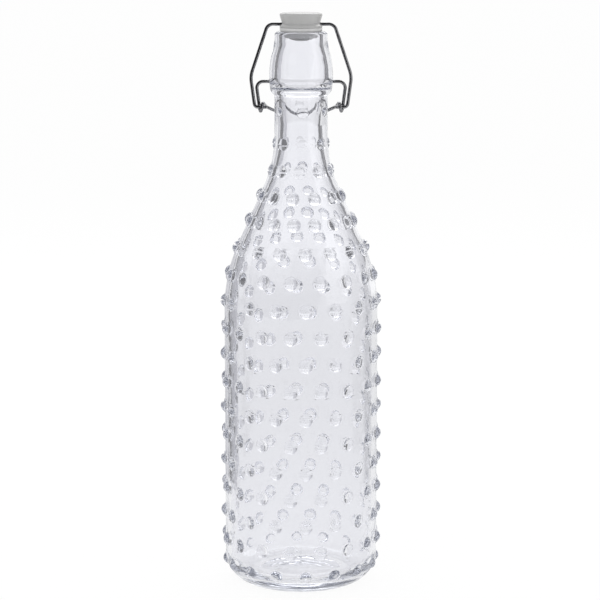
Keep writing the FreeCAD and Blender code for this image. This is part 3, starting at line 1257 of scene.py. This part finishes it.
class BentWire:
    """A round wire that is drawn out straight and bent, ring by ring. Lengths are in millimetres."""

    # The cut end's share of the wire's radius, the length of its round in radii, and rings in a corner
    END_SHARE = 0.7
    END_RUN = 0.3
    CORNER_RINGS = 14

    def __init__(self, radius: float, place: Vector, heading: Vector, sides: int = 24) -> None:
        """Start the wire with a cut end whose edge is rounded off.

        Args:
            radius: the wire's radius.
            place: the middle of its cut end.
            heading: the direction that it leaves in.
            sides: vertices in each ring.
        """
        self.bm = bmesh.new()
        self.along = self.bm.verts.layers.float.new("along")
        self.side_a = self.bm.verts.layers.float.new("side_a")
        self.side_b = self.bm.verts.layers.float.new("side_b")
        self.length = 0.0
        self.place, self.heading = place.copy(), heading.normalized()
        made = bmesh.ops.create_circle(self.bm, cap_ends=True, segments=sides,
                                       radius=radius * self.END_SHARE * MM)
        for vert in made["verts"]:
            side = vert.co.normalized()
            vert[self.side_a], vert[self.side_b] = side.x, side.y
        turn = self.heading.to_track_quat("Z", "Y").to_matrix().to_4x4()
        bmesh.ops.transform(self.bm, matrix=Matrix.Translation(self.place * MM) @ turn, verts=made["verts"])
        self.ring = list({edge for vert in made["verts"] for edge in vert.link_edges if edge.is_boundary})
        self.run(radius * self.END_RUN)
        verts = self.ring_verts()
        middle = Matrix.Translation(-self.place * MM)
        bmesh.ops.scale(self.bm, vec=(1 / self.END_SHARE,) * 3, space=middle, verts=verts)

    def ring_verts(self) -> list[BMVert]:
        """Return the newest ring's vertices."""
        return list({vert for edge in self.ring for vert in edge.verts})

    def settle(self, geom: list) -> None:
        """Keep the newest ring and mark how far along the wire it is.

        Args:
            geom: what the last operator made.
        """
        verts = {item for item in geom if isinstance(item, BMVert)}
        edges = (item for item in geom if isinstance(item, BMEdge))
        self.ring = [edge for edge in edges if set(edge.verts) <= verts]
        for vert in verts:
            vert[self.along] = self.length * MM

    def run(self, length: float) -> None:
        """Draw the wire out straight by a length."""
        made = bmesh.ops.extrude_edge_only(self.bm, edges=self.ring)
        verts = [item for item in made["geom"] if isinstance(item, BMVert)]
        bmesh.ops.translate(self.bm, verts=verts, vec=self.heading * length * MM)
        self.place += self.heading * length
        self.length += length
        self.settle(made["geom"])

    def bend(self, centre: Vector, axis: Vector, angle: float, steps: int, rise: float = 0.0) -> None:
        """Bend the wire round a centre.

        Args:
            centre: the middle of the bend.
            axis: the direction that it turns about.
            angle: how far it turns, radians.
            steps: rings in the bend.
            rise: how far the bend climbs along the axis.
        """
        axis = axis.normalized()
        turn = Matrix.Rotation(angle / steps, 3, axis)
        climb = axis * rise / steps
        for _ in range(steps):
            before = self.place.copy()
            geom = self.ring + self.ring_verts()
            made = bmesh.ops.spin(
                self.bm, geom=geom, cent=centre * MM, axis=axis, dvec=climb * MM,
                angle=angle / steps, steps=1, use_merge=False, use_normal_flip=False, use_duplicate=False,
            )
            self.place = centre + turn @ (self.place - centre) + climb
            self.heading = turn @ self.heading
            self.length += (self.place - before).length
            self.settle(made["geom_last"])

    def follow(self, points: list[Vector], radii: list[float]) -> None:
        """Draw the wire along points with rounded corners.

        Args:
            points: the corners and the end, after the place where the wire is now.
            radii: a bend radius for each point but the last.
        """
        for i, radius in enumerate(radii):
            corner = points[i]
            back = (self.place - corner).normalized()
            ahead = (points[i + 1] - corner).normalized()
            half = back.angle(ahead) / 2
            self.heading = -back
            self.run((self.place - corner).length - radius / math.tan(half))
            centre = corner + (back + ahead).normalized() * (radius / math.sin(half))
            self.bend(centre, self.heading.cross(ahead), math.pi - 2 * half, self.CORNER_RINGS)
        self.heading = (points[-1] - self.place).normalized()
        self.run((points[-1] - self.place).length)

    def close(self, name: str) -> Object:
        """Mirror the half wire onto the other side of x = 0.

        Args:
            name: the piece's name.

        Returns:
            The piece's object.
        """
        for vert in self.ring_verts():
            vert.co.x = 0.0
        whole = self.bm.verts[:] + self.bm.edges[:] + self.bm.faces[:]
        bmesh.ops.mirror(self.bm, geom=whole, matrix=Matrix.Identity(4), merge_dist=MERGE, axis="X")
        return finish_mesh(self.bm, name, sharp=60.0)


@dataclass
class Bail:
    """The wire bail: hooked ends, two bowed arms and the bar through the stopper.

    Sizes are in millimetres.
    """

    closure: Closure
    cap_r: float = 11.4
    hook_length: float = 1.8
    hook_r: float = 2.0
    gap: float = 0.55
    knee_x: float = 27.0
    knee_rise: float = 16.5
    knee_r: float = 14.0
    shoulder: float = 6.3
    shoulder_r: float = 4.0

    def build(self) -> Object:
        """Return the bail as one bent wire."""
        shared = self.closure
        bar = Vector((0.0, 0.0, shared.bar_z))
        up = (bar - shared.eye).normalized()
        end = shared.eye + X_AXIS * (shared.inner_x - self.hook_length)
        hook = shared.eye + X_AXIS * (shared.outer_x + 2 * shared.wire_r + self.gap)
        knee = shared.eye + up * self.knee_rise + X_AXIS * self.knee_x
        top = bar + X_AXIS * (self.cap_r + self.shoulder)
        wire = BentWire(shared.wire_r, end, X_AXIS)
        wire.follow([hook, knee, top, bar], [self.hook_r, self.knee_r, self.shoulder_r])
        return wire.close("bail_wire")

    def dress(self, finish: Material) -> Object:
        """Build the bail, give it its finish and put it in the frame."""
        obj = self.build()
        obj.data.materials.append(finish)
        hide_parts("bail")
        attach(obj, Body.BAIL.value)
        return obj


@dataclass
class Lever:
    """The wire lever: two pins, a one turn eye on each side and the loop behind the neck.

    Sizes are in millimetres.
    """

    closure: Closure
    pin_depth: float = 2.6
    pin_end_gap: float = 0.3
    arm_flare: float = 1.7
    corner_r: float = 3.5
    loop_taper: float = 1.7
    loop_corner_r: float = 5.0
    loop_drop: float = 15.4
    loop_sag: float = 5.2
    loop_sag_x: float = 5.0
    loop_sag_r: float = 12.0
    loop_gap: float = 0.3
    neck_nub_h: float = 1.0
    eye_steps: int = 40

    def on_eye(self, angle: float, x: float) -> Vector:
        """Return a point of the eye's coil at an angle and at x."""
        shared = self.closure
        return shared.eye + Vector((x, shared.eye_r * math.cos(angle), shared.eye_r * math.sin(angle)))

    def touch(self, y: float, z: float, side: int) -> float:
        """Find where a straight wire touches the eye's coil.

        Args:
            y: the straight wire's other end.
            z: the straight wire's other end.
            side: 1 or -1, for the two tangents.

        Returns:
            The angle on the eye.
        """
        shared = self.closure
        dy, dz = y - shared.eye.y, z - shared.eye.z
        return math.atan2(dz, dy) + side * math.acos(shared.eye_r / math.hypot(dy, dz))

    def build(self) -> Object:
        """Return the lever as one bent wire."""
        shared = self.closure
        glass = shared.glass
        pin = Vector((glass.bulge_r - self.pin_depth + self.pin_end_gap, 0.0, shared.pivot_z))
        corner = Vector((shared.outer_x + self.arm_flare, 0.0, shared.pivot_z))
        loop = Vector((shared.inner_x - self.loop_taper,
                       glass.neck_r + self.neck_nub_h + shared.wire_r + self.loop_gap,
                       shared.pivot_z - self.loop_drop))
        first = self.touch(0.0, shared.pivot_z, -1)
        last = self.touch(loop.y, loop.z, 1) - 2 * math.pi
        wire = BentWire(shared.wire_r, pin, X_AXIS)
        wire.follow([corner, self.on_eye(first, shared.outer_x)], [self.corner_r])
        wire.bend(shared.eye + X_AXIS * shared.outer_x, X_AXIS, last - first, self.eye_steps,
                  shared.inner_x - shared.outer_x)
        low = loop.z - self.loop_sag
        wire.follow([loop, Vector((self.loop_sag_x, loop.y, low)), Vector((0.0, loop.y, low))],
                    [self.loop_corner_r, self.loop_sag_r])
        return wire.close("lever_wire")

    def dress(self, finish: Material) -> Object:
        """Build the lever, give it its finish and put it in the frame."""
        obj = self.build()
        obj.data.materials.append(finish)
        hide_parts("lever")
        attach(obj, Body.LEVER.value)
        return obj


# The studio

@dataclass(frozen=True)
class Lamp:
    """One soft lamp that faces the bottle.

    Attributes:
        name: the lamp's name.
        place: where it hangs.
        size: width and height.
        power: watts.
    """

    name: str
    place: Place
    size: Pair
    power: float


@dataclass(frozen=True)
class Flag:
    """One self-lit grey panel out of the camera's sight, which gives glass and wire their dark lines.

    Attributes:
        name: the panel's name.
        place: its middle.
        size: width and height.
        grey: its linear grey.
        aim_z: the height on the bottle's axis that it faces.
        through: whether light that leaves the glass meets it, or only a mirror reflection does.
    """

    name: str
    place: Place
    size: Pair
    grey: float
    aim_z: float = 0.35
    through: bool = True


@dataclass
class Studio:
    """The floor, the lights and the camera. Lengths are in metres."""

    pitch: float = 10.0
    distance: float = 1.25
    target: Place = (-0.00054, 0.0, 0.156)
    lens: float = 137.9
    sensor: float = 36.0
    bounces: int = 32
    world_grey: float = 0.8
    lamp_aim_z: float = 0.15
    flag_blue: float = 1.04

    # The floor, the share of its glow that camera and glass see, and the soft dip that the glass sees in it
    floor_r: float = 12.0
    floor_sides: int = 96
    floor_grey: float = 0.93
    floor_rough: float = 0.9
    camera_share: float = 0.95
    through_share: float = 0.8
    dip: float = 0.225
    dip_fall: float = 0.4
    dip_y: float = 0.6
    dip_width: float = 0.85
    least_dip: float = -0.11

    lamps: tuple[Lamp, ...] = (
        Lamp("key lamp", (-0.9, -0.9, 1.1), (1.4, 1.4), 3.5),
        Lamp("fill lamp", (1.1, -0.7, 0.7), (1.0, 1.2), 2.0),
        Lamp("top lamp", (0.0, 0.8, 1.0), (1.8, 0.9), 9.0),
    )
    flags: tuple[Flag, ...] = (
        Flag("left flag", (-0.105, 0.182, 0.35), (0.07, 0.7), 0.64),
        Flag("left dark flag", (-0.21, 0.13, 0.35), (0.14, 0.7), 0.22),
        Flag("right flag", (0.227, 0.106, 0.35), (0.09, 0.7), 0.17),
        Flag("right upper flag", (0.183, 0.17, 0.33), (0.075, 0.3), 0.31, aim_z=0.33),
        Flag("front flag", (-0.06, -0.115, 0.38), (0.8, 0.7), 0.05, aim_z=0.28, through=False),
    )

    def camera(self) -> None:
        """Set the camera at the photograph's viewing angle."""
        data = bpy.data.cameras.new("camera")
        data.lens, data.sensor_width = self.lens, self.sensor
        obj = bpy.data.objects.new("camera", data)
        bpy.context.scene.collection.objects.link(obj)
        p = math.radians(self.pitch)
        back = Vector((0.0, -math.cos(p), math.sin(p)))
        obj.location = Vector(self.target) + back * self.distance
        obj.rotation_euler = (-back).to_track_quat("-Z", "Y").to_euler()
        bpy.context.scene.camera = obj

    def floor(self) -> None:
        """Lay the pale floor, which keeps a soft shadow and looks dimmer through glass."""
        bm = bmesh.new()
        bmesh.ops.create_circle(bm, cap_ends=True, segments=self.floor_sides, radius=self.floor_r)
        obj = finish_mesh(bm, "studio_floor")
        material, shade, shader = new_material("pale floor")
        fill(shader, Base_Color=(*(self.floor_grey,) * 3, 1.0), Roughness=self.floor_rough)
        paths = shade.add("ShaderNodeLightPath").outputs
        through = shade.math("MAXIMUM", paths["Is Glossy Ray"], paths["Is Transmission Ray"])
        seen = shade.math("ADD", shade.math("MULTIPLY", paths["Is Camera Ray"], self.camera_share),
                          shade.math("MULTIPLY", through, self.through_share))
        glow = shade.add("ShaderNodeEmission")
        split = shade.add("ShaderNodeSeparateXYZ")
        shade.link(shade.add("ShaderNodeTexCoord").outputs["Object"], split.inputs[0])
        away = shade.math("DIVIDE", shade.math("SUBTRACT", split.outputs["Y"], self.dip_y), self.dip_width)
        fall = shade.math("MULTIPLY", shade.math("MULTIPLY", away, away), self.dip_fall)
        dip = shade.math("MAXIMUM", shade.math("SUBTRACT", self.dip, fall), self.least_dip)
        strength = shade.math("SUBTRACT", 1.0, shade.math("MULTIPLY", through, dip))
        shade.link(strength, glow.inputs["Strength"])
        shade.blend(seen, shader, glow, material.node_tree.nodes["Material Output"].inputs["Surface"])
        obj.data.materials.append(material)

    def hang(self, lamp: Lamp) -> None:
        """Hang one lamp in its place.

        Args:
            lamp: the lamp.
        """
        data = bpy.data.lights.new(lamp.name, "AREA")
        data.shape, data.size, data.size_y, data.energy = "RECTANGLE", *lamp.size, lamp.power
        obj = bpy.data.objects.new(lamp.name, data)
        bpy.context.scene.collection.objects.link(obj)
        obj.location = lamp.place
        toward = Vector((0.0, 0.0, self.lamp_aim_z)) - Vector(lamp.place)
        obj.rotation_euler = toward.to_track_quat("-Z", "Y").to_euler()

    def stand(self, flag: Flag) -> None:
        """Stand one panel in its place.

        Args:
            flag: the panel.
        """
        bm = bmesh.new()
        bmesh.ops.create_grid(bm, x_segments=1, y_segments=1, size=0.5)
        toward = Vector((0.0, 0.0, flag.aim_z)) - Vector(flag.place)
        turn = toward.to_track_quat("Z", "Y").to_matrix().to_4x4()
        bmesh.ops.scale(bm, vec=(*flag.size, 1.0), verts=bm.verts)
        bmesh.ops.transform(bm, matrix=Matrix.Translation(flag.place) @ turn, verts=bm.verts)
        obj = finish_mesh(bm, flag.name)
        material, _, shader = new_material(flag.name)
        fill(shader, Base_Color=(0.0, 0.0, 0.0, 1.0), Specular_IOR_Level=0.0, Emission_Strength=1.0,
             Emission_Color=(flag.grey, flag.grey, flag.grey * self.flag_blue, 1.0))
        obj.data.materials.append(material)
        obj.visible_camera = False
        obj.visible_diffuse = False
        obj.visible_shadow = False
        obj.visible_transmission = flag.through

    def world(self) -> None:
        """Surround the bottle with an even white, as a lit paper sweep does."""
        world = bpy.data.worlds.new("studio")
        bpy.context.scene.world = world
        world.use_nodes = True
        shade = Shade(world.node_tree)
        base = world.node_tree.nodes["Background"]
        fill(base, Color=(*(self.world_grey,) * 3, 1.0), Strength=1.0)
        paths = shade.add("ShaderNodeLightPath").outputs
        through = shade.math("MAXIMUM", paths["Is Glossy Ray"], paths["Is Transmission Ray"])
        seen = shade.math("MAXIMUM", paths["Is Camera Ray"], through)
        white = shade.add("ShaderNodeBackground", Color=(1.0, 1.0, 1.0, 1.0), Strength=1.0)
        shade.blend(seen, base, white, world.node_tree.nodes["World Output"].inputs["Surface"])

    def set_up(self) -> None:
        """Build the whole studio."""
        scene = bpy.context.scene
        scene.view_settings.view_transform = "Standard"
        scene.cycles.max_bounces = self.bounces
        scene.cycles.transmission_bounces = self.bounces
        scene.cycles.glossy_bounces = self.bounces
        self.camera()
        self.floor()
        self.world()
        for lamp in self.lamps:
            self.hang(lamp)
        for flag in self.flags:
            self.stand(flag)


def main() -> None:
    """Build every piece in order."""
    logging.basicConfig(level=logging.INFO, format="%(message)s")
    make_groups()
    Studio().set_up()
    bottle = HobnailBottle()
    closure = Closure(bottle)
    steel = SteelWire().material()
    made = [bottle.dress(), *Stopper(closure).dress(),
            Bail(closure).dress(steel), Lever(closure).dress(steel)]
    for piece in made:
        log.info("%s: %d faces", piece.name, len(piece.data.polygons))


if __name__ == "__main__":
    main()
